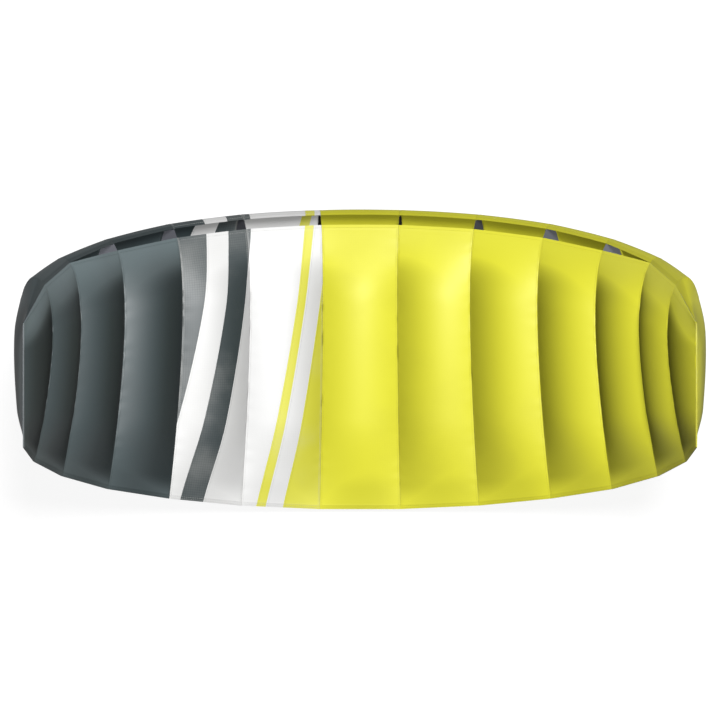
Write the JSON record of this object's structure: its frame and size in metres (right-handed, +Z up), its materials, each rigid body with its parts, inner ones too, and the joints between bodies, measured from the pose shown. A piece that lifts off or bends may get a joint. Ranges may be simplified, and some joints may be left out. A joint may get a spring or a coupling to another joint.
{
  "type": "power kite",
  "caption": "Inflated ram-air foil kite lying on its back: billowed cells between profile ribs, open air intakes along the nose, closed curled-up tips.",
  "frame": {"origin": "on the surface under the middle of the kite", "axes": "+X along the span to the yellow side, +Y towards the leading edge, +Z up, away from the surface"},
  "size_m": [1.3836, 0.5948, 0.7283],
  "materials": {
    "slate_ripstop": "slate grey coated ripstop cloth, soft sheen",
    "white_ripstop": "white coated ripstop cloth, soft sheen",
    "yellow_ripstop": "bright lemon yellow coated ripstop cloth, soft sheen",
    "grey_rib_cloth": "matte grey rib cloth"
  },
  "bodies": {
    "root": {"upper_panel_left_6": "slate_ripstop", "lower_panel_left_6": "slate_ripstop", "upper_panel_left_5": "slate_ripstop", "lower_panel_left_5": "slate_ripstop", "upper_panel_left_4": "slate_ripstop", "lower_panel_left_4": "slate_ripstop", "upper_panel_left_3": "slate_ripstop", "lower_panel_left_3": "slate_ripstop", "upper_panel_left_2": "white_ripstop", "lower_panel_left_2": "white_ripstop", "upper_panel_left_1": "white_ripstop", "lower_panel_left_1": "white_ripstop", "upper_panel_centre": "yellow_ripstop", "lower_panel_centre": "yellow_ripstop", "upper_panel_right_1": "yellow_ripstop", "lower_panel_right_1": "yellow_ripstop", "upper_panel_right_2": "yellow_ripstop", "lower_panel_right_2": "yellow_ripstop", "upper_panel_right_3": "yellow_ripstop", "lower_panel_right_3": "yellow_ripstop", "upper_panel_right_4": "yellow_ripstop", "lower_panel_right_4": "yellow_ripstop", "upper_panel_right_5": "yellow_ripstop", "lower_panel_right_5": "yellow_ripstop", "upper_panel_right_6": "yellow_ripstop", "lower_panel_right_6": "yellow_ripstop", "rib_left_6": "grey_rib_cloth", "rib_left_5": "grey_rib_cloth", "rib_left_4": "grey_rib_cloth", "rib_left_3": "grey_rib_cloth", "rib_left_2": "grey_rib_cloth", "rib_left_1": "grey_rib_cloth", "rib_right_1": "grey_rib_cloth", "rib_right_2": "grey_rib_cloth", "rib_right_3": "grey_rib_cloth", "rib_right_4": "grey_rib_cloth", "rib_right_5": "grey_rib_cloth", "rib_right_6": "grey_rib_cloth"}
  },
  "joints": []
}
